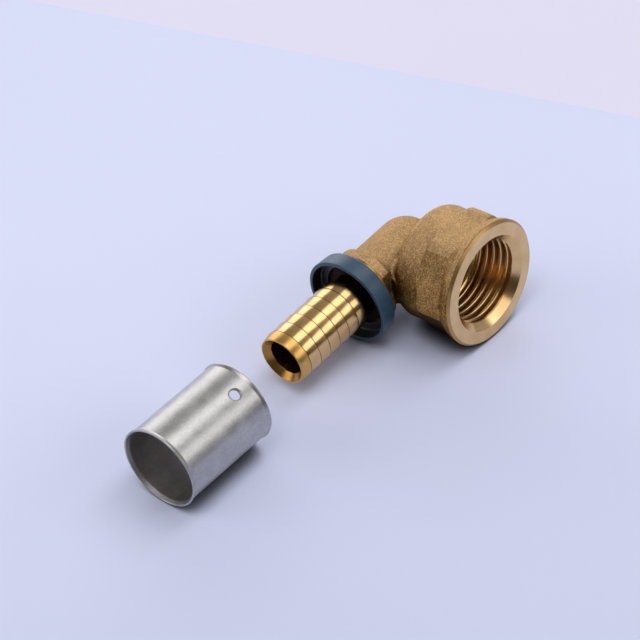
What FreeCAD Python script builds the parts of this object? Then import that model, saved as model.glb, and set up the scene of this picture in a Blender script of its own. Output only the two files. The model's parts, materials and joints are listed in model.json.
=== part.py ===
import FreeCAD, Part
import math
import os

import Sketcher
from FreeCAD import Placement, Rotation, Vector

# Press elbow for a multilayer water pipe: a forged brass body with a barbed
# insert at one end and an internally threaded socket at the other, a moulded
# stop ring on the insert's collar, and a thin steel press sleeve lying apart.
#
# The body's own frame has the bend centre at the origin, the insert along +X
# and the socket along +Y. All lengths are in millimetres, angles in degrees.

FULL_TURN = 360
HEXAGON_SIDES = 6
# The socket's core stays inside the hexagon's flats, at this share of their radius.
CORE_SHARE = 0.95
# Rounds for working out how the elbow lies: each one brings it about ten times nearer.
RESTING_ROUNDS = 20

SIZES = [
    ("leg_radius", 6.9, "outside of the round leg"),
    ("insert_reach", 41.0, "bend centre to the insert's tip"),
    ("waterway_radius", 4.0, "bore through the insert and the leg"),
    ("lip_radius", 5.55, "outside of the insert at its tip"),
    ("tip_cone_radius", 5.25, "mouth of the cone inside the tip"),
    ("tip_cone_depth", 1.3, "depth of the cone inside the tip"),
    ("barb_radius", 6.0, "crest of each barb"),
    ("barb_step", 0.36, "depth of the step behind each crest"),
    ("barb_pitch", 3.05, "crest to crest"),
    ("barb_count", 6, "sharp crests, before the last plain land"),
    ("first_land", 2.6, "tip to the first crest"),
    ("land_end_round", 0.8, "rounding where the last land ends"),
    ("neck_radius", 5.0, "plain neck between the last land and the seat"),
    ("seat_radius", 6.9, "step that centres the stop ring"),
    ("seat_length", 1.2, "length of that step"),
    ("collar_radius", 8.2, "collar behind the stop ring"),
    ("collar_front", 15.8, "bend centre to the collar's front face"),
    ("collar_width", 3.6, "land of the collar"),
    ("collar_chamfer", 0.4, "front edge of the collar"),
    ("collar_back", 1.5, "length of the hollow from the collar down to the leg"),
    ("socket_radius", 12.6, "round shoulder of the socket"),
    ("socket_back", 6.1, "bend centre to the back of the socket"),
    ("shoulder_round", 2.6, "rounding at the back of the shoulder"),
    ("socket_reach", 22.9, "bend centre to the socket's face"),
    ("rim_radius", 14.1, "round rim at the mouth"),
    ("rim_draft", 0.2, "how much narrower the rim is where its back slope starts"),
    ("rim_slope", 1.2, "length of the slope at the rim's back"),
    ("rim_drop", 0.5, "fall of that slope"),
    ("rim_width", 3.2, "width of the rim"),
    ("rim_chamfer", 0.6, "front edge of the rim"),
    ("rim_back_round", 0.3, "rounding at the rim's back edge"),
    ("hexagon_flats", 25.0, "across the flats of the hexagon"),
    ("hexagon_width", 6.7, "hexagon behind the rim"),
    ("hexagon_corner", 13.9, "radius that the hexagon's corners are turned to"),
    ("hexagon_bevel", 1.0, "length of the bevel on the hexagon's back corners"),
    ("thread_radius", 9.32, "crest of the G 1/2 internal thread"),
    ("thread_mouth_radius", 10.8, "mouth of the countersink"),
    ("thread_depth", 13.4, "face to the end of the threaded wall"),
    ("drill_angle", 31.0, "slope of the cone that a drill leaves"),
    ("socket_waterway_radius", 4.6, "bore from the socket down to the bend"),
    ("bend_fillet", 1.0, "fillet where the leg meets the socket"),
    ("ring_radius", 10.15, "outside of the stop ring at its open end"),
    ("ring_draft", 0.3, "how much narrower the ring is at its back"),
    ("ring_wall", 0.85, "wall of the ring at its open end"),
    ("ring_length", 4.3, "length of the stop ring"),
    ("ring_floor", 1.7, "thickness of the ring's floor"),
    ("ring_back_round", 0.6, "rounding at the ring's back edge"),
    ("ring_lip_round", 0.25, "rounding and lead-in at the ring's open end"),
    ("ring_clearance", 0.3, "ring to its seat, on the radius"),
    ("sleeve_length", 23.8, "length of the press sleeve"),
    ("sleeve_radius", 8.9, "outside of the press sleeve"),
    ("sleeve_wall", 0.5, "wall of the press sleeve"),
    ("flare_rise", 0.4, "how far each end flares out"),
    ("flare_length", 1.6, "length of each flare"),
    ("window_radius", 1.5, "inspection hole in the sleeve"),
    ("window_setback", 4.7, "hole centre to the sleeve's end"),
    ("window_turn", 27.0, "hole's turn away from straight up"),
    ("sleeve_gap", 14.9, "insert's tip to the sleeve, along the floor"),
    ("sleeve_offset", 1.2, "sleeve's middle to the insert's line, along the floor"),
    ("sleeve_turn", 1.2, "turn of the sleeve on the floor"),
]


class Size:
    """A length with its value and the formula that gives it from the sheet."""

    def __init__(self, value, formula):
        self.value = value
        self.formula = formula

    def join(self, other, sign, value):
        text = other.formula if isinstance(other, Size) else str(other)
        return Size(value, "(" + self.formula + sign + text + ")")

    def __add__(self, other):
        return self.join(other, " + ", self.value + number(other))

    def __sub__(self, other):
        return self.join(other, " - ", self.value - number(other))

    def __mul__(self, other):
        return self.join(other, " * ", self.value * number(other))

    def __truediv__(self, other):
        return self.join(other, " / ", self.value / number(other))


def number(size):
    return size.value if isinstance(size, Size) else float(size)


def fill_sheet(doc):
    """The driving dimensions, one a row: meaning, value."""
    sheet = doc.addObject("Spreadsheet::Sheet", "Sizes")
    for row, (alias, value, meaning) in enumerate(SIZES, start=1):
        sheet.set("A%d" % row, meaning)
        sheet.set("B%d" % row, str(value))
        sheet.setAlias("B%d" % row, alias)
    doc.recompute()
    return {alias: Size(float(value), "Sizes." + alias) for alias, value, meaning in SIZES}


doc = FreeCAD.newDocument("PressElbow")
size = fill_sheet(doc)
ZERO = Size(0.0, "0")


# Sketching

def origin_plane(body, role):
    return next(item for item in body.Origin.OriginFeatures if item.Role == role)


def new_body(label):
    body = doc.addObject("PartDesign::Body", label)
    body.Label = label
    return body


def new_sketch(body, name, role="XY_Plane"):
    sketch = body.newObject("Sketcher::SketchObject", name)
    sketch.AttachmentSupport = [(origin_plane(body, role), "")]
    sketch.MapMode = "FlatFace"
    return sketch


def constrain(sketch, kind, targets, length):
    """Adds one dimension and binds it to its formula."""
    index = sketch.addConstraint(Sketcher.Constraint(kind, *targets, length.value))
    sketch.setExpression("Constraints[%d]" % index, length.formula)


def place_point(sketch, geometry, end, x, y):
    """Fixes one end of a line or arc at x, y from the sketch's origin."""
    for kind, length, axis in (("DistanceX", x, -2), ("DistanceY", y, -1)):
        if length.formula == "0":
            sketch.addConstraint(Sketcher.Constraint("PointOnObject", geometry, end, axis))
        else:
            constrain(sketch, kind, (-1, 1, geometry, end), length)


def outline(body, name, corners, arcs=None):
    """Closed outline through the corners, as straight lines.

    arcs maps a corner's number to the radius of an arc that takes the place of
    the line to the next corner, and to the side it bulges to: 1 left, -1 right.
    """
    arcs = arcs or {}
    sketch = new_sketch(body, name)
    points = [Vector(x.value, y.value, 0) for x, y in corners]
    starts = []
    ends = []
    for index, start in enumerate(points):
        end = points[(index + 1) % len(points)]
        if index in arcs:
            radius, side = arcs[index]
            chord = end - start
            half = chord.Length / 2
            rise = radius.value - math.sqrt(radius.value ** 2 - half ** 2)
            left = Vector(-chord.y, chord.x, 0).normalize()
            middle = (start + end) / 2 + left * rise * side
            piece = sketch.addGeometry(Part.Arc(start, middle, end))
            constrain(sketch, "Radius", (piece,), radius)
            # An arc runs anticlockwise, so one that bulges left is stored end first.
            starts.append((piece, 2 if side > 0 else 1))
            ends.append((piece, 1 if side > 0 else 2))
        else:
            piece = sketch.addGeometry(Part.LineSegment(start, end))
            starts.append((piece, 1))
            ends.append((piece, 2))
    for index, (x, y) in enumerate(corners):
        place_point(sketch, *starts[index], x, y)
        sketch.addConstraint(Sketcher.Constraint("Coincident", *ends[index - 1], *starts[index]))
    return sketch


def turned(body, name, kind, corners, axis, arcs=None):
    """A full turn of an outline about the sketch's H or V axis."""
    sketch = outline(body, name + "_outline", corners, arcs)
    feature = body.newObject("PartDesign::" + kind, name)
    feature.Profile = sketch
    feature.ReferenceAxis = (sketch, [axis])
    feature.Angle = FULL_TURN
    doc.recompute()
    return feature


# Elbow body

def add_leg(body):
    """Round leg from the bend to inside the collar."""
    s = size
    leg_end = s["collar_front"] - s["collar_width"] / 2
    return turned(body, "leg", "Revolution", [
        (ZERO - s["leg_radius"], ZERO),
        (ZERO, s["leg_radius"]),
        (leg_end, s["leg_radius"]),
        (leg_end, ZERO),
    ], "H_Axis", {0: (s["leg_radius"], 1)})


def add_collar(body):
    """Collar with the hollow behind it, the stop ring's seat and the neck."""
    s = size
    rear = s["collar_front"] - s["collar_width"]
    # The hollow is an arc that leaves the leg smoothly.
    rise = s["collar_radius"] - s["leg_radius"]
    hollow = (s["collar_back"] * s["collar_back"] + rise * rise) / 2 / rise
    return turned(body, "collar", "Revolution", [
        (rear - s["collar_back"], ZERO),
        (rear - s["collar_back"], s["leg_radius"]),
        (rear, s["collar_radius"]),
        (s["collar_front"] - s["collar_chamfer"], s["collar_radius"]),
        (s["collar_front"], s["collar_radius"] - s["collar_chamfer"]),
        (s["collar_front"], s["seat_radius"]),
        (s["collar_front"] + s["seat_length"], s["seat_radius"]),
        (s["collar_front"] + s["seat_length"], s["neck_radius"]),
        (s["insert_reach"] - s["first_land"], s["neck_radius"]),
        (s["insert_reach"] - s["first_land"], ZERO),
    ], "H_Axis", {1: (hollow, -1)})


def add_insert(body):
    """Insert with a plain outside, before its barbs are cut."""
    s = size
    land_end = s["insert_reach"] - s["first_land"] - s["barb_pitch"] * s["barb_count"]
    return turned(body, "insert", "Revolution", [
        (land_end, ZERO),
        (land_end, s["barb_radius"] - s["land_end_round"]),
        (land_end + s["land_end_round"], s["barb_radius"]),
        (s["insert_reach"] - s["first_land"], s["barb_radius"]),
        (s["insert_reach"], s["lip_radius"]),
        (s["insert_reach"], ZERO),
    ], "H_Axis", {1: (s["land_end_round"], 1)})


def add_barbs(body):
    """One sloping cut behind the first crest, repeated down the insert."""
    s = size
    crest = s["insert_reach"] - s["first_land"]
    cut = turned(body, "barb_cut", "Groove", [
        (crest, s["barb_radius"] - s["barb_step"]),
        (crest, s["barb_radius"] + s["barb_step"]),
        (crest - s["barb_pitch"], s["barb_radius"] + s["barb_step"]),
        (crest - s["barb_pitch"], s["barb_radius"]),
    ], "H_Axis")
    barbs = body.newObject("PartDesign::LinearPattern", "barbs")
    barbs.Originals = [cut]
    barbs.Direction = (cut.Profile[0], ["H_Axis"])
    barbs.Reversed = True
    barbs.Mode = "Spacing"
    barbs.setExpression("Offset", s["barb_pitch"].formula)
    barbs.setExpression("Occurrences", s["barb_count"].formula)
    body.Tip = barbs
    doc.recompute()
    return barbs


def add_socket(body):
    """Round shoulder, core and rim of the socket, turned about its own axis."""
    s = size
    rim_back = s["socket_reach"] - s["rim_width"]
    hexagon_back = rim_back - s["hexagon_width"]
    core = s["hexagon_flats"] / 2 * CORE_SHARE
    slope_radius = s["rim_radius"] - s["rim_draft"]
    rim_back_radius = slope_radius - s["rim_drop"]
    return turned(body, "socket", "Revolution", [
        (ZERO, s["socket_back"]),
        (s["socket_radius"] - s["shoulder_round"], s["socket_back"]),
        (s["socket_radius"], s["socket_back"] + s["shoulder_round"]),
        (s["socket_radius"], hexagon_back),
        (core, hexagon_back),
        (core, rim_back),
        (rim_back_radius - s["rim_back_round"], rim_back),
        (rim_back_radius, rim_back + s["rim_back_round"]),
        (slope_radius, rim_back + s["rim_slope"]),
        (s["rim_radius"], s["socket_reach"] - s["rim_chamfer"]),
        (s["rim_radius"] - s["rim_chamfer"], s["socket_reach"]),
        (ZERO, s["socket_reach"]),
    ], "V_Axis", {1: (s["shoulder_round"], -1), 6: (s["rim_back_round"], -1)})


def add_hexagon(body):
    """Hexagon for the spanner, with two corners in the plane of the bend."""
    s = size
    corner = s["hexagon_flats"] / 2 / math.cos(math.pi / HEXAGON_SIDES)
    rim_back = s["socket_reach"] - s["rim_width"]
    sketch = new_sketch(body, "hexagon_outline", "XZ_Plane")
    sketch.AttachmentOffset = Placement(Vector(0, 0, -rim_back.value), Rotation())
    sketch.setExpression("AttachmentOffset.Base.z", "0 - " + rim_back.formula)
    turns = [math.radians(FULL_TURN / HEXAGON_SIDES * step) for step in range(HEXAGON_SIDES)]
    points = [Vector(math.cos(turn), math.sin(turn), 0) * corner.value for turn in turns]
    for start, end in zip(points, points[1:] + points[:1]):
        sketch.addGeometry(Part.LineSegment(start, end))
    circle = sketch.addGeometry(Part.Circle(Vector(0, 0, 0), Vector(0, 0, 1), corner.value), True)
    sketch.addConstraint(Sketcher.Constraint("Coincident", circle, 3, -1, 1))
    constrain(sketch, "Radius", (circle,), corner)
    for side in range(HEXAGON_SIDES):
        following = (side + 1) % HEXAGON_SIDES
        sketch.addConstraint(Sketcher.Constraint("Coincident", side, 2, following, 1))
        sketch.addConstraint(Sketcher.Constraint("PointOnObject", side, 1, circle))
    for side in range(HEXAGON_SIDES - 1):
        sketch.addConstraint(Sketcher.Constraint("Equal", side, side + 1))
    sketch.addConstraint(Sketcher.Constraint("PointOnObject", 0, 1, -1))
    pad = body.newObject("PartDesign::Pad", "hexagon")
    pad.Profile = sketch
    pad.setExpression("Length", s["hexagon_width"].formula)
    doc.recompute()
    return pad


def turn_hexagon(body):
    """Turns the hexagon's corners down, and bevels them back to the shoulder."""
    s = size
    rim_back = s["socket_reach"] - s["rim_width"]
    back = rim_back - s["hexagon_width"]
    # Both limits clear the hexagon by the size of the thing itself.
    outside = s["hexagon_corner"] + s["hexagon_flats"]
    behind = back - s["hexagon_width"]
    return turned(body, "hexagon_turning", "Groove", [
        (s["socket_radius"], behind),
        (s["socket_radius"], back),
        (s["hexagon_corner"], back + s["hexagon_bevel"]),
        (s["hexagon_corner"], rim_back),
        (outside, rim_back),
        (outside, behind),
    ], "V_Axis")


def on_leg(surface):
    """Whether a surface is the leg's cylinder or the ball at its end."""
    if not isinstance(surface, (Part.Cylinder, Part.Sphere)):
        return False
    return math.isclose(surface.Radius, size["leg_radius"].value)


def on_socket_back(surface):
    """Whether a surface is the flat back of the socket or the rounding round it."""
    if not isinstance(surface, (Part.Plane, Part.Toroid)):
        return False
    return math.isclose(abs(surface.Axis.y), 1)


def fillet_bend(body):
    """Fillet along the seam between the leg and the back of the socket."""
    base = body.Tip
    seam = []
    for index, edge in enumerate(base.Shape.Edges, start=1):
        surfaces = [face.Surface for face in base.Shape.ancestorsOfType(edge, Part.Face)]
        if any(map(on_leg, surfaces)) and any(map(on_socket_back, surfaces)):
            seam.append("Edge%d" % index)
    fillet = body.newObject("PartDesign::Fillet", "bend_fillet")
    fillet.Base = (base, seam)
    fillet.setExpression("Radius", size["bend_fillet"].formula)
    doc.recompute()
    return fillet


def drill_slope():
    """Length over radius of the cone that a drill leaves."""
    return math.tan(math.radians(size["drill_angle"].value))


def bore_waterway(body):
    """Bore from the tip to the bend, with the cone inside the tip."""
    s = size
    return turned(body, "waterway", "Groove", [
        (ZERO - s["waterway_radius"] * drill_slope(), ZERO),
        (ZERO, s["waterway_radius"]),
        (s["insert_reach"] - s["tip_cone_depth"], s["waterway_radius"]),
        (s["insert_reach"], s["tip_cone_radius"]),
        (s["insert_reach"] + s["tip_cone_depth"], s["tip_cone_radius"]),
        (s["insert_reach"] + s["tip_cone_depth"], ZERO),
    ], "H_Axis")


def bore_socket(body):
    """Threaded wall with its countersink, and the drilled way down to the bend."""
    s = size
    slope = drill_slope()
    floor = s["socket_reach"] - s["thread_depth"]
    floor_drop = (s["thread_radius"] - s["socket_waterway_radius"]) * slope
    drill_tip = ZERO - s["waterway_radius"] * slope
    sink = s["thread_mouth_radius"] - s["thread_radius"]
    return turned(body, "socket_bore", "Groove", [
        (ZERO, drill_tip),
        (s["socket_waterway_radius"], drill_tip + s["socket_waterway_radius"] * slope),
        (s["socket_waterway_radius"], floor - floor_drop),
        (s["thread_radius"], floor),
        (s["thread_radius"], s["socket_reach"] - sink),
        (s["thread_mouth_radius"], s["socket_reach"]),
        (s["thread_mouth_radius"], s["socket_reach"] + sink),
        (ZERO, s["socket_reach"] + sink),
    ], "V_Axis")


def make_elbow():
    body = new_body("elbow_body")
    add_leg(body)
    add_socket(body)
    fillet_bend(body)
    add_collar(body)
    add_insert(body)
    add_barbs(body)
    add_hexagon(body)
    turn_hexagon(body)
    bore_waterway(body)
    bore_socket(body)
    return body


# Stop ring

def make_ring():
    """Moulded cup in front of the collar, open towards the insert's tip."""
    s = size
    body = new_body("stop_ring")
    back = s["collar_front"]
    front = back + s["ring_length"]
    back_radius = s["ring_radius"] - s["ring_draft"]
    hole_radius = s["seat_radius"] + s["ring_clearance"]
    inside = s["ring_radius"] - s["ring_wall"]
    turned(body, "cup", "Revolution", [
        (back, hole_radius),
        (back, back_radius - s["ring_back_round"]),
        (back + s["ring_back_round"], back_radius),
        (front - s["ring_lip_round"], s["ring_radius"]),
        (front, s["ring_radius"] - s["ring_lip_round"]),
        (front, inside + s["ring_lip_round"]),
        (front - s["ring_lip_round"], inside),
        (back + s["ring_floor"], inside),
        (back + s["ring_floor"], hole_radius),
    ], "H_Axis", {1: (s["ring_back_round"], 1), 3: (s["ring_lip_round"], 1)})
    return body


# Press sleeve

def make_sleeve():
    """Thin tube with a small flare at each end and one inspection hole."""
    s = size
    body = new_body("press_sleeve")
    inside = s["sleeve_radius"] - s["sleeve_wall"]
    # The flare is an arc that leaves the tube's wall smoothly.
    bend = (s["flare_length"] * s["flare_length"] + s["flare_rise"] * s["flare_rise"]) / 2
    bend = bend / s["flare_rise"]
    straight_end = s["sleeve_length"] - s["flare_length"]
    turned(body, "tube", "Revolution", [
        (ZERO, inside + s["flare_rise"]),
        (ZERO, s["sleeve_radius"] + s["flare_rise"]),
        (s["flare_length"], s["sleeve_radius"]),
        (straight_end, s["sleeve_radius"]),
        (s["sleeve_length"], s["sleeve_radius"] + s["flare_rise"]),
        (s["sleeve_length"], inside + s["flare_rise"]),
        (straight_end, inside),
        (s["flare_length"], inside),
    ], "H_Axis", {1: (bend, -1), 3: (bend, -1), 5: (bend, 1), 7: (bend, 1)})
    sketch = new_sketch(body, "window_outline")
    circle = sketch.addGeometry(Part.Circle(
        Vector(s["window_setback"].value, 0, 0), Vector(0, 0, 1), s["window_radius"].value))
    place_point(sketch, circle, 3, s["window_setback"], ZERO)
    constrain(sketch, "Radius", (circle,), s["window_radius"])
    window = body.newObject("PartDesign::Pocket", "window")
    window.Profile = sketch
    window.Type = "Length"
    window.Reversed = True
    window.setExpression("Length", (s["sleeve_radius"] * 2).formula)
    doc.recompute()
    return body


# How the pieces lie on the floor

def lowest_of_circle(centre, axis, radius, up):
    """The point of a circle that lies furthest down, where up is the floor's normal."""
    across = up - axis * up.dot(axis)
    return centre - across.normalize() * radius


def resting_placement():
    """Lays the elbow on its rim, shoulder and stop ring, with the insert along +X.

    The three touching points and the floor's normal depend on each other, so
    the normal is worked out from the points a few times over.
    """
    s = size
    insert_axis = Vector(1, 0, 0)
    socket_axis = Vector(0, 1, 0)
    ring_lip = (s["collar_front"] + s["ring_length"] - s["ring_lip_round"]).value
    rim_edge = (s["socket_reach"] - s["rim_chamfer"]).value
    heel = (s["socket_back"] + s["shoulder_round"]).value
    circles = [
        (socket_axis * rim_edge, socket_axis, s["rim_radius"].value),
        (insert_axis * ring_lip, insert_axis, s["ring_radius"].value),
        (socket_axis * heel, socket_axis, s["socket_radius"].value),
    ]
    up = Vector(0, 0, 1)
    for _ in range(RESTING_ROUNDS):
        rim, ring, shoulder = [lowest_of_circle(*circle, up) for circle in circles]
        up = (ring - shoulder).cross(rim - shoulder).normalize()
    tilt = Rotation(up, Vector(0, 0, 1))
    ahead = tilt.multVec(insert_axis)
    turn = Rotation(Vector(0, 0, 1), -math.degrees(math.atan2(ahead.y, ahead.x)))
    return Placement(Vector(0, 0, -up.dot(rim)), turn.multiply(tilt))


def sleeve_placement(resting):
    """Lays the sleeve on its flares, beyond the insert's tip and nearly in line with it."""
    s = size
    tip = resting.multVec(Vector(s["insert_reach"].value, 0, 0))
    turn = Rotation(Vector(0, 0, 1), s["sleeve_turn"].value)
    roll = Rotation(Vector(1, 0, 0), -s["window_turn"].value)
    flare_radius = (s["sleeve_radius"] + s["flare_rise"]).value
    to_middle = turn.multVec(Vector(s["sleeve_length"].value / 2, 0, 0))
    near_end = Vector(tip.x + s["sleeve_gap"].value, tip.y, flare_radius)
    near_end.y += s["sleeve_offset"].value - to_middle.y
    return Placement(near_end, turn.multiply(roll))


def centre_on_footprint(bodies):
    """Moves everything together, so that the origin is the middle of the footprint."""
    whole = FreeCAD.BoundBox()
    for body in bodies:
        whole.add(body.Shape.optimalBoundingBox(False, False))
    shift = Vector(-whole.Center.x, -whole.Center.y, -whole.ZMin)
    for body in bodies:
        body.Placement = Placement(shift, Rotation()).multiply(body.Placement)
    doc.recompute()


def check(bodies):
    """Stops if any object failed, or if a piece isn't one sound solid."""
    for item in doc.Objects:
        if "Invalid" in item.State or "Error" in item.State:
            raise RuntimeError("failed: " + item.Name)
    for body in bodies:
        shape = body.Shape
        if shape.isNull() or not shape.isValid() or len(shape.Solids) != 1:
            raise RuntimeError("not one sound solid: " + body.Label)


elbow = make_elbow()
ring = make_ring()
sleeve = make_sleeve()
elbow.Placement = resting_placement()
ring.Placement = elbow.Placement
sleeve.Placement = sleeve_placement(elbow.Placement)
doc.recompute()
pieces = [elbow, ring, sleeve]
centre_on_footprint(pieces)
check(pieces)
os.makedirs("parts", exist_ok=True)
for piece in pieces:
    piece.Shape.exportStep("parts/" + piece.Label + ".step")
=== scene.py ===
import json
import math
from contextlib import contextmanager

import bmesh
import bpy
import numpy as np
from mathutils import Matrix, Vector


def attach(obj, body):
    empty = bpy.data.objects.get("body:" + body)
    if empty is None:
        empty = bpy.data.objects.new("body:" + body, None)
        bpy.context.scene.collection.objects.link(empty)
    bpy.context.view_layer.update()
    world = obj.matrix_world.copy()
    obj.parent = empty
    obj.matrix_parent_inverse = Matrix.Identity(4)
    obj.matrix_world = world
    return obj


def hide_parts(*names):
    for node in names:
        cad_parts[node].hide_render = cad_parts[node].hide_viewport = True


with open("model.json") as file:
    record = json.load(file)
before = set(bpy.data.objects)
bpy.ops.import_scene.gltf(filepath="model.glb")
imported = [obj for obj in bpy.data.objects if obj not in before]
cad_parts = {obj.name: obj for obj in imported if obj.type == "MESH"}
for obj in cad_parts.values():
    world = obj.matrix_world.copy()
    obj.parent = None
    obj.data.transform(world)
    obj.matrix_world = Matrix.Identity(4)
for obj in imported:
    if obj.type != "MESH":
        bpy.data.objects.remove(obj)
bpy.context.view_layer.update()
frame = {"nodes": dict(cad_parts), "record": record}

# Press elbow: looks of the forged brass body, its machined insert and socket, the moulded stop
# ring and the press sleeve.
#
# The pieces' sizes are in millimetres. The camera, the lights, the floor and everything inside a
# material are in metres. A profile's corners are (along, radius) or (along, radius, rounding).

MM = 0.001

# Facets round a turned piece, round what cuts the forging and round what drills the window.
SEGMENTS = 224
CUTTER_SEGMENTS = 96
DRILL_SEGMENTS = 64
ROUNDING_STEPS = 5
# Points nearer than this are one point, and a face smaller than this is none, both in metres.
SAME_POINT = 0.001 * MM
NO_FACE = 1e-14

# The forging is meshed again in cells of this size, then smoothed once by this factor.
CELL = 0.22
SMOOTHING = 0.5

# The insert, along its axis from the bend's centre.
TIP = 41.0
TIP_RADIUS = 5.55
TIP_MOUTH = 5.26
CONE_DEPTH = 1.3
FIRST_LAND = 2.6
BARB_RADIUS = 6.0
BARB_STEP = 0.36
BARB_PITCH = 3.05
BARB_COUNT = 6
CREST_BAND = 0.2
LAND_END = TIP - FIRST_LAND - BARB_PITCH * BARB_COUNT
NECK_START = 17.0
NECK_RADIUS = 5.0
SEAT_RADIUS = 6.9
# The collar is forged as far as here, and turned from here to its front face.
TURNED_FROM = 14.6
COLLAR_FRONT = 15.8
COLLAR_RADIUS = 8.2
WATERWAY_RADIUS = 4.0
# The turned insert starts here, hidden in the leg.
INSERT_START = 9.2

# The socket, along its axis from the bend's centre.
SOCKET_FACE = 22.9
RIM_RADIUS = 14.1
RIM_CHAMFER = 0.6
MOUTH_RADIUS = 10.8
THREAD_CREST = 9.32
THREAD_ROOT = 10.48
THREAD_PITCH = 1.814
THREAD_HALF_ANGLE = 27.5
THREAD_BLEND = 0.16
THREAD_END = 9.5
# Where the helix has its root at turn 0.
THREAD_START = 0.98
# The thread runs out over this length, to nothing this far before its end.
RUN_OUT = 1.6
RUN_OUT_END = 1.2
# It deepens this much for each millimetre below the countersink.
THREAD_LEAD_IN = 1.3
# Its wall has a point every so far, the first this far below the face.
WALL_STEP = 0.07
WALL_START = 0.15
DRILL_END = 6.66
DRILLED_RADIUS = 4.6
DRILLED_START = 3.4
# Outsides of the turned socket and of its drilled way, where the forging hides them.
SOCKET_SKIN = 11.4
DRILLED_SKIN = 5.1

RING_RADIUS = 10.15
RING_LENGTH = 4.3
RING_HOLE = 7.2
RING_FLOOR = 1.7
RING_WALL = 0.85
# It tapers by this much to the back, and stands this far off the collar.
RING_TAPER = 0.3
RING_GAP = 0.01

SLEEVE_LENGTH = 23.8
SLEEVE_RADIUS = 8.9
SLEEVE_WALL = 0.5
FLARE_LENGTH = 0.85
FLARE_RISE = 0.4
WINDOW_RADIUS = 1.5
WINDOW_CHAMFER = 0.34
WINDOW_SETBACK = 4.7
WINDOW_TURN = 27.0

# What is machined off the forging. The turned pieces cover the cut.
INSERT_SPACE = (
    (9.5, 0.0), (9.5, 5.0), (TURNED_FROM, 5.0), (TURNED_FROM, 9.5), (TIP + 2, 9.5), (TIP + 2, 0.0))
RIM_FORGED_TO = SOCKET_FACE - RIM_CHAMFER - 0.1
SOCKET_SPACE = (
    (3.6, 0.0), (3.6, DRILLED_RADIUS + 0.15), (DRILL_END - 0.1, DRILLED_RADIUS + 0.15),
    (THREAD_END - 0.1, 9.5), (9.9, 11.0), (RIM_FORGED_TO, 11.0), (RIM_FORGED_TO, RIM_RADIUS + 1),
    (SOCKET_FACE + 2, RIM_RADIUS + 1), (SOCKET_FACE + 2, 0.0))

# Finishes of the insert, with painted shade on the neck and on the crests, in the order of its
# materials.
BRIGHT, NECK_SHADE, DULL, BORED, CREST_SHADE = range(5)


# Places

def mount(name):
    return next(m for m in frame["record"]["mounts"] if m["name"] == name)


def placed(origin, x, y, z):
    """Matrix with those axes and its origin at origin."""
    return Matrix.Translation(origin) @ Matrix((x, y, z)).transposed().to_4x4()


def axis_frame(origin, axis, side):
    """Matrix with X along axis, Y towards side and its origin at origin."""
    x = Vector(axis).normalized()
    z = x.cross(Vector(side)).normalized()
    return placed(origin, x, z.cross(x), z)


bore = mount("insert_bore")
insert_axis = Vector(bore["axis"])
socket_axis = Vector(mount("socket_thread")["axis"])
bend_centre = Vector(bore["pos_m"]) - insert_axis * bore["dims"]["length_mm"] / 2 * MM
insert_frame = axis_frame(bend_centre, insert_axis, socket_axis)
socket_frame = axis_frame(bend_centre, socket_axis, -insert_axis)

sleeve_bore = mount("sleeve_bore")
sleeve_axis = Vector(sleeve_bore["axis"])
sleeve_end = Vector(sleeve_bore["pos_m"]) - sleeve_axis * SLEEVE_LENGTH / 2 * MM
window_side = Matrix.Rotation(-math.radians(WINDOW_TURN), 3, sleeve_axis) @ Vector((0, 0, 1))
sleeve_frame = axis_frame(sleeve_end, sleeve_axis, window_side)


# Meshes

def new_object(name, data):
    made = bpy.data.objects.new(name, data)
    bpy.context.scene.collection.objects.link(made)
    return made


@contextmanager
def opened(mesh):
    """The mesh's faces and points, to be changed, and written back at the end."""
    work = bmesh.new()
    work.from_mesh(mesh)
    yield work
    work.to_mesh(mesh)
    work.free()


def shade(mesh, sharp):
    """Shades the mesh smooth but for edges sharper than that many degrees."""
    mesh.shade_smooth()
    mesh.set_sharp_from_angle(angle=math.radians(sharp))


def straight(corners):
    """Closed outline through (along, radius) corners."""
    return [Vector(corner) for corner in corners]


def rounded(corners, hold=0.05):
    """Closed outline through (along, radius, rounding) corners.

    A point is held just beyond each end of a rounding, so that the flat next to it shades flat.
    """
    outline = []
    for index, (x, y, rounding) in enumerate(corners):
        here = Vector((x, y))
        if not rounding:
            outline.append(here)
            continue
        back = (Vector(corners[index - 1][:2]) - here).normalized()
        ahead = (Vector(corners[(index + 1) % len(corners)][:2]) - here).normalized()
        half = back.angle(ahead) / 2
        centre = here + (back + ahead).normalized() * rounding / math.sin(half)
        start = here + back * rounding / math.tan(half)
        end = here + ahead * rounding / math.tan(half)
        sweep = math.pi - 2 * half
        outline.append(start + back * hold)
        for step in range(ROUNDING_STEPS + 1):
            share = step / ROUNDING_STEPS
            from_start = (start - centre) * math.sin((1 - share) * sweep)
            from_end = (end - centre) * math.sin(share * sweep)
            outline.append(centre + (from_start + from_end) / math.sin(sweep))
        outline.append(end + ahead * hold)
    return outline


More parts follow.
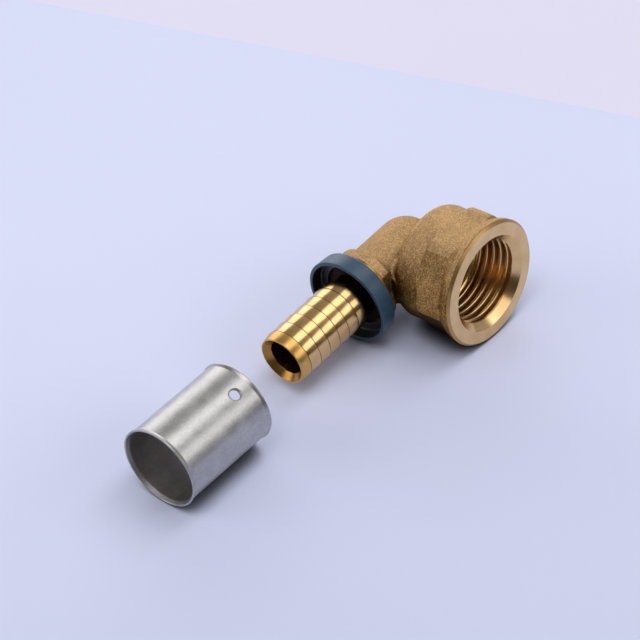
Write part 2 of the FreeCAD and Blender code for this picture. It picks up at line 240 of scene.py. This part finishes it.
def lathe(name, outline, place, shape=None, segments=SEGMENTS, sharp=32):
    """Closed outline turned about the X axis of place.

    shape(along, radius, turn) may give another radius at each point.
    """
    along = np.array([p[0] for p in outline])
    radius = np.array([p[1] for p in outline])
    turn = np.linspace(0, 2 * math.pi, segments, endpoint=False)
    grid_along = np.repeat(along[None, :], segments, 0)
    grid_radius = np.repeat(radius[None, :], segments, 0)
    grid_turn = np.repeat(turn[:, None], len(outline), 1)
    if shape:
        grid_radius = shape(grid_along, grid_radius, grid_turn)
    points = np.stack([
        grid_along, grid_radius * np.cos(grid_turn), grid_radius * np.sin(grid_turn)], -1)
    matrix = np.array(place)
    points = points.reshape(-1, 3) * MM @ matrix[:3, :3].T + matrix[:3, 3]
    count = len(outline)
    faces = []
    for i in range(segments):
        here, following = i * count, (i + 1) % segments * count
        for j in range(count):
            k = (j + 1) % count
            faces.append((here + j, here + k, following + k, following + j))
    mesh = bpy.data.meshes.new(name)
    mesh.from_pydata(points.tolist(), [], faces)
    with opened(mesh) as work:
        bmesh.ops.recalc_face_normals(work, faces=work.faces)
    shade(mesh, sharp)
    return new_object(name, mesh)


def cutting_lathe(name, corners, place, segments):
    """Solid for cut(): the turned outline, with the points on its axis merged."""
    piece = lathe(name, straight(corners), place, segments=segments)
    with opened(piece.data) as work:
        bmesh.ops.remove_doubles(work, verts=work.verts, dist=SAME_POINT)
        bmesh.ops.dissolve_degenerate(work, edges=work.edges, dist=SAME_POINT)
        empty = [face for face in work.faces if face.calc_area() < NO_FACE]
        bmesh.ops.delete(work, geom=empty, context="FACES_ONLY")
        bmesh.ops.recalc_face_normals(work, faces=work.faces)
    return piece


def cut(piece, cutters, sharp):
    """Takes the cutters' shapes out of the piece, bakes its modifiers and removes the cutters."""
    for cutter in cutters:
        difference = piece.modifiers.new("cut", "BOOLEAN")
        difference.operation = "DIFFERENCE"
        difference.solver = "MANIFOLD"
        difference.object = cutter
    depsgraph = bpy.context.evaluated_depsgraph_get()
    mesh = bpy.data.meshes.new_from_object(piece.evaluated_get(depsgraph))
    piece.modifiers.clear()
    piece.data = mesh
    shade(mesh, sharp)
    for cutter in cutters:
        bpy.data.objects.remove(cutter)


def paint(piece, place, choose):
    """Gives each face the material that choose(along, radius) numbers for its middle."""
    to_axis = place.inverted()
    for face in piece.data.polygons:
        middle = to_axis @ face.center
        face.material_index = choose(middle.x / MM, math.hypot(middle.y, middle.z) / MM)


# Pieces

def make_forging():
    """Forged part of the elbow: the solid with soft edges, without what was machined later."""
    mesh = frame["nodes"]["elbow_body"].data.copy()
    with opened(mesh) as work:
        bmesh.ops.remove_doubles(work, verts=work.verts, dist=SAME_POINT)
    piece = new_object("elbow_forging", mesh)
    remesh = piece.modifiers.new("even_faces", "REMESH")
    remesh.mode = "VOXEL"
    remesh.voxel_size = CELL * MM
    soften = piece.modifiers.new("soft_edges", "SMOOTH")
    soften.factor = SMOOTHING
    soften.iterations = 1
    cut(piece, [
        cutting_lathe("insert_space", INSERT_SPACE, insert_frame, CUTTER_SEGMENTS),
        cutting_lathe("socket_space", SOCKET_SPACE, socket_frame, CUTTER_SEGMENTS)], 60)
    return piece


def barb_outline():
    """Outside of the insert from the neck to the last crest, with a band of painted shade on each
    crest.
    """
    corners = [(LAND_END, NECK_RADIUS, 0.1), (LAND_END, BARB_RADIUS, 0.75)]
    for barb in range(1, BARB_COUNT + 1):
        crest = LAND_END + BARB_PITCH * barb
        corners += [(crest, BARB_RADIUS - BARB_STEP, 0), (crest, BARB_RADIUS - 0.05, 0),
                    (crest + CREST_BAND, BARB_RADIUS - 0.01, 0)]
    return corners


def insert_finish(along, radius):
    slack = 0.1
    in_cone = along > TIP - CONE_DEPTH and radius < TIP_MOUTH
    if radius < WATERWAY_RADIUS + slack or in_cone or along < COLLAR_FRONT:
        return BORED
    # The seat and the neck are painted near black, as painted shade.
    if COLLAR_FRONT + 0.02 < along < LAND_END + slack:
        return NECK_SHADE
    past_crest = (along - LAND_END) % BARB_PITCH
    in_band = past_crest < CREST_BAND or past_crest > BARB_PITCH - 0.001
    # The band on each crest is painted dark, as the crest's painted shade.
    if in_band and along > LAND_END + BARB_PITCH - slack:
        return CREST_SHADE
    return DULL if along > TIP - FIRST_LAND else BRIGHT


def make_machined_insert():
    """Turned part of the elbow: the collar's band, seat, neck, barbs and waterway."""
    corners = [
        (INSERT_START, WATERWAY_RADIUS - 0.02, 0), (INSERT_START, 5.6, 0),
        (TURNED_FROM - 0.4, 5.8, 0), (TURNED_FROM - 0.15, 7.2, 0),
        (TURNED_FROM + 0.04, COLLAR_RADIUS, 0.1), (COLLAR_FRONT, COLLAR_RADIUS, 0.3),
        (COLLAR_FRONT, SEAT_RADIUS, 0.05), (NECK_START, SEAT_RADIUS, 0.2),
        (NECK_START, NECK_RADIUS, 0.3)]
    corners += barb_outline()
    corners += [
        (TIP, TIP_RADIUS, 0.1), (TIP, TIP_MOUTH, 0.04), (TIP - CONE_DEPTH, WATERWAY_RADIUS, 0.1)]
    piece = lathe("elbow_insert", rounded(corners), insert_frame)
    paint(piece, insert_frame, insert_finish)
    return piece


def blended(a, b, sign):
    """The greater of a and b for sign 1, the lesser for sign -1, with the corner rounded."""
    share = np.clip(0.5 + 0.5 * sign * (a - b) / THREAD_BLEND, 0, 1)
    return b + (a - b) * share + sign * THREAD_BLEND * share * (1 - share)


def thread_wall(along, radius, turn):
    """Internal thread as a helix, run out at its inner end and begun below the countersink."""
    slope = 1 / math.tan(math.radians(THREAD_HALF_ANGLE))
    height = THREAD_PITCH / 2 * slope
    phase = ((along - THREAD_START) / THREAD_PITCH - turn / (2 * math.pi)) % 1.0
    flanks = THREAD_CREST - height / 6 + np.abs(phase - 0.5) * THREAD_PITCH * slope
    wave = blended(blended(flanks, THREAD_CREST, 1), THREAD_ROOT, -1)
    depth = np.clip((along - THREAD_END - RUN_OUT_END) / RUN_OUT, 0, 1)
    wave = THREAD_CREST + (wave - THREAD_CREST) * depth
    countersink = MOUTH_RADIUS - (SOCKET_FACE - along)
    begun = THREAD_CREST + THREAD_LEAD_IN * np.maximum(THREAD_CREST - countersink, 0)
    wall = np.maximum(np.minimum(wave, begun), countersink)
    inside = radius < MOUTH_RADIUS
    threaded = inside & (along < SOCKET_FACE - 0.1) & (along > THREAD_END - 0.05)
    return np.where(threaded, wall, radius)


def socket_finish(along, radius):
    """Bright, but worn on the rim's edge, which is the socket's second material."""
    return int(radius > RIM_RADIUS - RIM_CHAMFER + 0.05 and along < SOCKET_FACE - 0.05)


def make_machined_socket():
    """Turned end and inside of the socket: chamfer, face, countersink, thread and drilled way."""
    # The last corner only says which way the countersink goes, and is left out.
    outline = rounded([
        (THREAD_END, SOCKET_SKIN, 0), (21.3, SOCKET_SKIN, 0), (21.9, 13.4, 0),
        (SOCKET_FACE - RIM_CHAMFER, RIM_RADIUS, 0.08),
        (SOCKET_FACE, RIM_RADIUS - RIM_CHAMFER, 0.12), (SOCKET_FACE, MOUTH_RADIUS, 0.08),
        (SOCKET_FACE - 1.6, THREAD_CREST - 0.1, 0)])[:-1]
    steps = int((SOCKET_FACE - WALL_START - THREAD_END) / WALL_STEP)
    outline += straight(
        (SOCKET_FACE - WALL_START - WALL_STEP * step, THREAD_CREST) for step in range(steps + 1))
    outline += straight([
        (THREAD_END - 0.06, THREAD_CREST - 0.02), (DRILL_END, DRILLED_RADIUS),
        (DRILLED_START, DRILLED_RADIUS), (DRILLED_START, DRILLED_SKIN),
        (DRILL_END - 0.3, DRILLED_SKIN), (THREAD_END - 0.2, 10.0)])
    piece = lathe("elbow_socket", outline, socket_frame, shape=thread_wall, sharp=40)
    paint(piece, socket_frame, socket_finish)
    return piece


def make_ring():
    """Stop ring: a shallow cup, its open end towards the tip."""
    back = COLLAR_FRONT + RING_GAP
    front = back + RING_LENGTH
    corners = [
        (back, RING_HOLE, 0.1), (back, RING_RADIUS - RING_TAPER, 0.6),
        (front, RING_RADIUS, 0.25), (front, RING_RADIUS - RING_WALL, 0.2),
        (back + RING_FLOOR, RING_RADIUS - 1.0, 0.4), (back + RING_FLOOR, RING_HOLE, 0.15)]
    piece = lathe("stop_ring_moulding", rounded(corners), insert_frame)

    # The cup's inside gets a near-black plastic: painted shade.
    def in_shaded_cup(along, radius):
        return int(along > back + 1 and radius < RING_RADIUS - RING_WALL + 0.01)

    paint(piece, insert_frame, in_shaded_cup)
    return piece


def sleeve_finish(along, radius):
    """The outside has the sleeve's first material, and the inside and its flares the second,
    rougher and darkened as painted shade.
    """
    from_end = min(along, SLEEVE_LENGTH - along)
    flare = FLARE_RISE * max(1 - from_end / FLARE_LENGTH, 0)
    return int(radius < SLEEVE_RADIUS - SLEEVE_WALL + flare + 0.08 and from_end > 0.12)


def make_sleeve():
    """Press sleeve: thin tube, flared at both ends, with its inspection hole."""
    half = [(0, SLEEVE_RADIUS + FLARE_RISE, 0.2), (FLARE_LENGTH, SLEEVE_RADIUS, 0.5)]
    outer = half + [(SLEEVE_LENGTH - x, y, edge) for x, y, edge in reversed(half)]
    inner = [(x, y - SLEEVE_WALL, edge) for x, y, edge in reversed(outer)]
    tube = lathe("press_sleeve_tube", rounded(outer + inner, hold=0.02), sleeve_frame)
    window_centre = sleeve_frame @ Vector((WINDOW_SETBACK * MM, 0, 0))
    window = axis_frame(window_centre, window_side, sleeve_axis)
    narrow = WINDOW_RADIUS - WINDOW_CHAMFER
    drill = cutting_lathe("window_drill", (
        (4.0, 0.0), (4.0, narrow), (SLEEVE_RADIUS - 0.25, narrow),
        (SLEEVE_RADIUS - 0.05, WINDOW_RADIUS), (14.0, WINDOW_RADIUS), (14.0, 0.0)),
        window, DRILL_SEGMENTS)
    paint(tube, sleeve_frame, sleeve_finish)
    # The window's chamfer takes the darker inside material: painted shade.
    paint(drill, window, lambda along, radius: 1)
    cut(tube, [drill], 32)
    return tube


# Nodes

def new_material(name):
    material = bpy.data.materials.new(name)
    material.use_nodes = True
    tree = material.node_tree
    return material, tree, tree.nodes["Principled BSDF"]


def feed(tree, node, inputs):
    """Gives the node's inputs their values and links."""
    for key, value in inputs.items():
        if isinstance(value, bpy.types.NodeSocket):
            tree.links.new(value, node.inputs[key])
        else:
            node.inputs[key].default_value = value


def add(tree, kind, inputs=None, **settings):
    """New node with its settings, its input values and links."""
    node = tree.nodes.new(kind)
    for key, value in settings.items():
        setattr(node, key, value)
    feed(tree, node, inputs or {})
    return node


def object_point(tree):
    return add(tree, "ShaderNodeTexCoord").outputs["Object"]


def axis_point(tree, place):
    """Point of the object, along and across the axis of place."""
    return add(tree, "ShaderNodeMapping", {
        "Vector": object_point(tree), "Location": place.to_translation(),
        "Rotation": place.to_euler()}, vector_type="TEXTURE").outputs["Vector"]


def noise(tree, vector, scale, detail=3.0, roughness=0.55):
    return add(tree, "ShaderNodeTexNoise", {
        "Vector": vector, "Scale": scale, "Detail": detail, "Roughness": roughness}).outputs["Fac"]


def ramp(tree, value, *stops):
    """Colour that goes with value through the (value, colour) stops."""
    node = add(tree, "ShaderNodeValToRGB", {"Fac": value})
    elements = node.color_ramp.elements
    while len(elements) < len(stops):
        elements.new(0.5)
    for element, (place, colour) in zip(elements, stops):
        element.position = place
        element.color = (*colour, 1.0)
    return node.outputs["Color"]


def remapped(tree, value, start, end, low=0.0, high=1.0):
    """low where value is at start or before it, high at end or past it, and even between them."""
    return add(tree, "ShaderNodeMapRange", {
        "Value": value, "From Min": start, "From Max": end,
        "To Min": low, "To Max": high}).outputs["Result"]


def scaled(tree, value, low, high):
    """value, from 0 to 1, spread from low to high."""
    return remapped(tree, value, 0.0, 1.0, low, high)


def mixed(tree, share, a, b):
    return add(tree, "ShaderNodeMix", {"Factor": share, "A": a, "B": b}).outputs["Result"]


def greater(tree, a, b):
    return add(tree, "ShaderNodeMath", {0: a, 1: b}, operation="MAXIMUM").outputs[0]


def times(tree, colour, share):
    return add(tree, "ShaderNodeVectorMath", {0: colour, "Scale": share},
               operation="SCALE").outputs["Vector"]


def reach(tree, vector, way):
    """How far vector reaches along way."""
    return add(tree, "ShaderNodeVectorMath", {0: vector, 1: way},
               operation="DOT_PRODUCT").outputs["Value"]


def bump(tree, height, distance, strength=1.0, under=None):
    """Normal that height bumps, on top of the one from the bump under it."""
    inputs = {"Height": height, "Distance": distance, "Strength": strength}
    if under:
        inputs["Normal"] = under
    return add(tree, "ShaderNodeBump", inputs).outputs["Normal"]


def with_painted_shade(tree, colour, distance, least, closed=0.1):
    """The colour, darkened as painted shade down to that share where something nearer than
    distance shelters it.

    It is darkest where less than closed of the sky is left open.
    """
    sky = add(tree, "ShaderNodeAmbientOcclusion", {"Distance": distance}, samples=8).outputs["AO"]
    return times(tree, colour, remapped(tree, sky, closed, 0.6, least, 1.0))


def painted_sheen_and_shade(tree, colour, top_sheen):
    """The colour, under a painted pale sheen on faces that look up and painted shade on those that
    look down.
    """
    normal = add(tree, "ShaderNodeNewGeometry").outputs["Normal"]
    upward = add(tree, "ShaderNodeSeparateXYZ", {"Vector": normal}).outputs["Z"]
    sheen_share = remapped(tree, upward, 0.2, 0.8, 0.0, 0.45)
    # Inputs 6 and 7 and output 2 are the node's colours.
    sheened = add(tree, "ShaderNodeMix", {"Factor": sheen_share, 6: colour, 7: (*top_sheen, 1.0)},
                 data_type="RGBA").outputs[2]
    return times(tree, sheened, remapped(tree, upward, -0.5, -0.1, 0.15, 1.0))


# Materials

def forged_brass():
    """Skin of the forging: grainy and mottled, with painted shade in its creases and underneath
    and a painted sheen on top.
    """
    material, tree, shader = new_material("forged_brass")
    where = object_point(tree)
    grain = noise(tree, where, 2900.0, detail=2.0, roughness=0.6)
    pits = noise(tree, where, 1500.0, roughness=0.6)
    mottle = noise(tree, where, 620.0, detail=4.0)
    cloud = noise(tree, where, 110.0)
    tone = mixed(tree, 0.6, mixed(tree, 0.5, mottle, cloud), grain)
    colour = ramp(tree, tone, (0.40, (0.16, 0.08, 0.018)), (0.50, (0.42, 0.225, 0.06)),
                  (0.60, (0.76, 0.47, 0.17)))
    # Painted sheen on faces that look up, painted shade on those that look down.
    colour = painted_sheen_and_shade(tree, colour, (0.56, 0.41, 0.26))
    # Painted shade in the creases, and a wider painted shade where the forging is sheltered
    # underneath.
    colour = with_painted_shade(tree, colour, 0.0015, 0.4)
    colour = with_painted_shade(tree, colour, 0.01, 0.15, closed=0.3)
    feed(tree, shader, {
        "Base Color": colour, "Metallic": 1.0, "Roughness": scaled(tree, mottle, 0.45, 0.65),
        "Specular Tint": (0.7, 0.58, 0.45, 1.0), "Coat Weight": 0.15, "Coat Roughness": 0.5,
        "Normal": bump(tree, grain, 0.00016, under=bump(tree, pits, 0.00013))})
    return material


def turned_brass(name, place, low, high, roughness):
    """Machined brass, from colour low to high, with fine rings left by the tool."""
    material, tree, shader = new_material(name)
    at = axis_point(tree, place)
    along = add(tree, "ShaderNodeSeparateXYZ", {"Vector": at}).outputs["X"]
    rings = add(tree, "ShaderNodeCombineXYZ", {"X": along}).outputs["Vector"]
    marks = noise(tree, rings, 9000.0, detail=2.0)
    stain = noise(tree, at, 260.0, detail=4.0)
    feed(tree, shader, {
        "Base Color": ramp(tree, stain, (0.3, low), (0.7, high)), "Metallic": 1.0,
        "Roughness": scaled(tree, stain, roughness - 0.04, roughness + 0.06),
        "Normal": bump(tree, marks, 0.000004, 0.5)})
    return material


def plastic(name, low, high):
    """Moulded plastic, from colour low to high, with a faint grain."""
    material, tree, shader = new_material(name)
    where = object_point(tree)
    cloud = noise(tree, where, 300.0)
    grain = noise(tree, where, 3000.0, detail=2.0)
    feed(tree, shader, {
        "Base Color": ramp(tree, cloud, (0.3, low), (0.7, high)),
        "Roughness": scaled(tree, cloud, 0.30, 0.42), "Normal": bump(tree, grain, 0.00001, 0.5)})
    return material


def satin_steel(name, low, high, smoothest, roughest):
    """Satin steel, clouded and grained from colour low to high."""
    material, tree, shader = new_material(name)
    at = axis_point(tree, sleeve_frame)
    grain = noise(tree, at, 2400.0)
    cloud = noise(tree, at, 260.0, detail=4.0, roughness=0.65)
    tone = mixed(tree, 0.4, cloud, grain)
    feed(tree, shader, {
        "Base Color": ramp(tree, tone, (0.35, low), (0.65, high)), "Metallic": 1.0,
        "Roughness": scaled(tree, cloud, smoothest, roughest),
        "Normal": bump(tree, grain, 0.000015, 0.8)})
    return material


def paper(name, low, high):
    """Matt paper from colour low to high, a little darker ahead as painted falloff, with painted
    shadow where sheltered.
    """
    material, tree, shader = new_material(name)
    where = object_point(tree)
    cloud = noise(tree, where, 6.0)
    fibre = noise(tree, where, 1800.0)
    path = add(tree, "ShaderNodeLightPath").outputs
    seen = greater(tree, path["Is Camera Ray"], path["Is Glossy Ray"])
    seen = greater(tree, seen, path["Is Transmission Ray"])
    colour = ramp(tree, cloud, (0.3, low), (0.7, high))
    # Painted falloff of light: the paper is a little darker ahead.
    ahead = reach(tree, where, (0.7, 0.7, 0.0))
    colour = times(tree, colour, remapped(tree, ahead, -0.06, 0.1, 1.0, 0.9))
    colour = times(tree, colour, scaled(tree, seen, 1.0, PAPER_LIFT))
    # Painted shadow where the object shelters the paper.
    feed(tree, shader, {
        "Base Color": with_painted_shade(tree, colour, 0.0065, 0.03, closed=0.22), "Roughness": 0.85,
        "Specular IOR Level": 0.15, "Normal": bump(tree, fibre, 0.00003, 0.3)})
    return material


# Camera, lights and floor

IMAGE_SIZE = 640
CAMERA_AT = Vector((0.26937, 0.23615, 0.34970))
CAMERA_AIM = Vector((-0.01347, -0.01516, 0.0))
CAMERA_ROLL = -0.038
FOCAL_PIXELS = 2400.0
SENSOR = 36.0
# The paper looks this much lighter to the camera, and in what mirrors it, than it lights the
# object.
PAPER_LIFT = 1.25
# The far edge of the lavender paper crosses the picture through these two pixels. From there it
# reaches this far to each side and this far ahead.
PAPER_EDGE_PIXELS = ((25, 0), (640, 118))
PAPER_SIDE = 2
PAPER_AHEAD = 3
# Just under the object, and a table just under the paper that reaches this far from the middle.
PAPER_HEIGHT = -0.00002
TABLE_HEIGHT = -0.0004
TABLE_REACH = 3.0


def camera_axes():
    ahead = (CAMERA_AIM - CAMERA_AT).normalized()
    level = ahead.cross(Vector((0, 0, 1))).normalized()
    upright = level.cross(ahead)
    right = level * math.cos(CAMERA_ROLL) + upright * math.sin(CAMERA_ROLL)
    return right, right.cross(ahead), ahead


def make_camera():
    right, up, ahead = camera_axes()
    data = bpy.data.cameras.new("photo_camera")
    data.sensor_width = SENSOR
    data.lens = FOCAL_PIXELS / IMAGE_SIZE * SENSOR
    data.clip_start, data.clip_end = 0.01, 20.0
    camera = new_object("photo_camera", data)
    camera.matrix_world = placed(CAMERA_AT, right, up, -ahead)
    bpy.context.scene.camera = camera


def floor_under(pixel):
    """Point of the floor that the photograph shows at a pixel."""
    right, up, ahead = camera_axes()
    across = (pixel[0] - IMAGE_SIZE / 2) / FOCAL_PIXELS
    down = (pixel[1] - IMAGE_SIZE / 2) / FOCAL_PIXELS
    ray = ahead + right * across - up * down
    return CAMERA_AT - ray * (CAMERA_AT.z / ray.z)


def softbox(name, azimuth, elevation, distance, width, height, radiance, upright=(0, 0, 1)):
    """Rectangular lamp that faces the object, seen from it under azimuth and elevation.

    Its height runs along upright as nearly as it can.
    """
    turn, lift = math.radians(azimuth), math.radians(elevation)
    level = math.cos(lift)
    back = Vector((math.cos(turn) * level, math.sin(turn) * level, math.sin(lift)))
    across = Vector(upright).cross(back).normalized()
    lamp = bpy.data.lights.new(name, "AREA")
    lamp.shape = "RECTANGLE"
    lamp.size, lamp.size_y = width, height
    lamp.energy = radiance * math.pi * width * height
    holder = new_object(name, lamp)
    holder.matrix_world = placed(back * distance, across, back.cross(across), back)


def make_lights():
    softbox("back_left_box", -125, 16, 0.8, 1.0, 0.5, 1.9)
    softbox("top_box", 140, 80, 0.9, 1.5, 0.43, 1.9, upright=(0, 1, 0))
    softbox("right_box", 110, 33, 0.8, 0.74, 0.32, 1.8)
    softbox("left_box", -48, 27, 0.8, 0.5, 0.4, 1.5)
    softbox("high_fill", -16, 68, 0.9, 0.7, 0.5, 1.0)
    softbox("front_fill", -28, 9, 0.8, 0.9, 0.36, 0.6)


def make_world():
    """Dim room: darkest on the camera's side, lighter behind the object and above it."""
    world = bpy.data.worlds.new("studio")
    world.use_nodes = True
    bpy.context.scene.world = world
    tree = world.node_tree
    way = add(tree, "ShaderNodeTexCoord").outputs["Generated"]
    spread = remapped(tree, reach(tree, way, (-0.8, 0.0, 0.5)), -0.2, 0.95)
    colour = ramp(tree, spread, (0.0, (0.07, 0.055, 0.04)), (0.48, (0.08, 0.068, 0.055)),
                  (0.70, (0.30, 0.295, 0.29)), (1.0, (0.42, 0.41, 0.41)))
    feed(tree, tree.nodes["Background"], {"Color": colour})


def make_sheet(name, corners, height, material):
    mesh = bpy.data.meshes.new(name)
    mesh.from_pydata([(x, y, height) for x, y in corners], [], [tuple(range(len(corners)))])
    mesh.materials.append(material)
    new_object(name, mesh)


def make_floor():
    """Lavender paper under the object, on a paler table beyond its far edge."""
    left, right = (floor_under(pixel) for pixel in PAPER_EDGE_PIXELS)
    edge = (right - left).normalized()
    nearer = Vector((-edge.y, edge.x, 0))
    if nearer.dot(-left) < 0:
        nearer = -nearer
    left, right = left - edge * PAPER_SIDE, right + edge * PAPER_SIDE
    ahead = nearer * PAPER_AHEAD
    make_sheet("paper_sheet", [c[:2] for c in (left, right, right + ahead, left + ahead)],
               PAPER_HEIGHT, paper("lavender_paper", (0.59, 0.628, 0.835), (0.62, 0.657, 0.86)))
    far = TABLE_REACH
    make_sheet("table", [(-far, -far), (far, -far), (far, far), (-far, far)], TABLE_HEIGHT,
               paper("table_top", (0.655, 0.64, 0.80), (0.675, 0.66, 0.82)))


def dress(piece, materials, node):
    """Puts a piece in place of a node, with the materials that its faces number."""
    # Without its materials, the piece forgets the numbers.
    numbers = [face.material_index for face in piece.data.polygons]
    piece.data.materials.clear()
    for material in materials:
        piece.data.materials.append(material)
    piece.data.polygons.foreach_set("material_index", numbers)
    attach(piece, "root")
    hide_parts(node)


make_camera()
make_lights()
make_world()
make_floor()
insert_brass = [
    turned_brass("bright_insert", insert_frame, (0.64, 0.40, 0.17), (0.74, 0.49, 0.23), 0.17),
    # Near-black brass: painted shade on the seat and the neck.
    turned_brass("neck_painted_shade", insert_frame, (0.012, 0.007, 0.005), (0.03, 0.017, 0.01), 0.5),
    turned_brass("dull_tip", insert_frame, (0.54, 0.30, 0.08), (0.68, 0.42, 0.14), 0.3),
    turned_brass("bored_way", insert_frame, (0.36, 0.185, 0.042), (0.47, 0.26, 0.07), 0.25),
    # Dark brass: painted shade along the crests.
    turned_brass("crest_painted_shade", insert_frame, (0.09, 0.045, 0.015), (0.20, 0.11, 0.04), 0.4)]
socket_brass = [
    turned_brass("bright_socket", socket_frame, (0.68, 0.44, 0.20), (0.79, 0.55, 0.28), 0.22),
    turned_brass("rim_edge", socket_frame, (0.42, 0.25, 0.09), (0.54, 0.34, 0.14), 0.4)]
ring_plastic = [
    plastic("blue_plastic", (0.022, 0.060, 0.107), (0.033, 0.083, 0.138)),
    # Near-black plastic: painted shade inside the cup.
    plastic("cup_painted_shade", (0.007, 0.009, 0.010), (0.010, 0.012, 0.014))]
sleeve_steel = [
    satin_steel("satin_steel", (0.37, 0.362, 0.362), (0.53, 0.52, 0.515), 0.25, 0.46),
    # Rougher steel, darkened as painted shade inside the sleeve.
    satin_steel("sleeve_inside_painted_shade", (0.28, 0.262, 0.26), (0.41, 0.385, 0.38), 0.42, 0.62)]
dress(make_forging(), [forged_brass()], "elbow_body")
dress(make_machined_insert(), insert_brass, "elbow_body")
dress(make_machined_socket(), socket_brass, "elbow_body")
dress(make_ring(), ring_plastic, "stop_ring")
dress(make_sleeve(), sleeve_steel, "press_sleeve")

bpy.context.scene.view_settings.view_transform = "Standard"
bpy.context.view_layer.update()
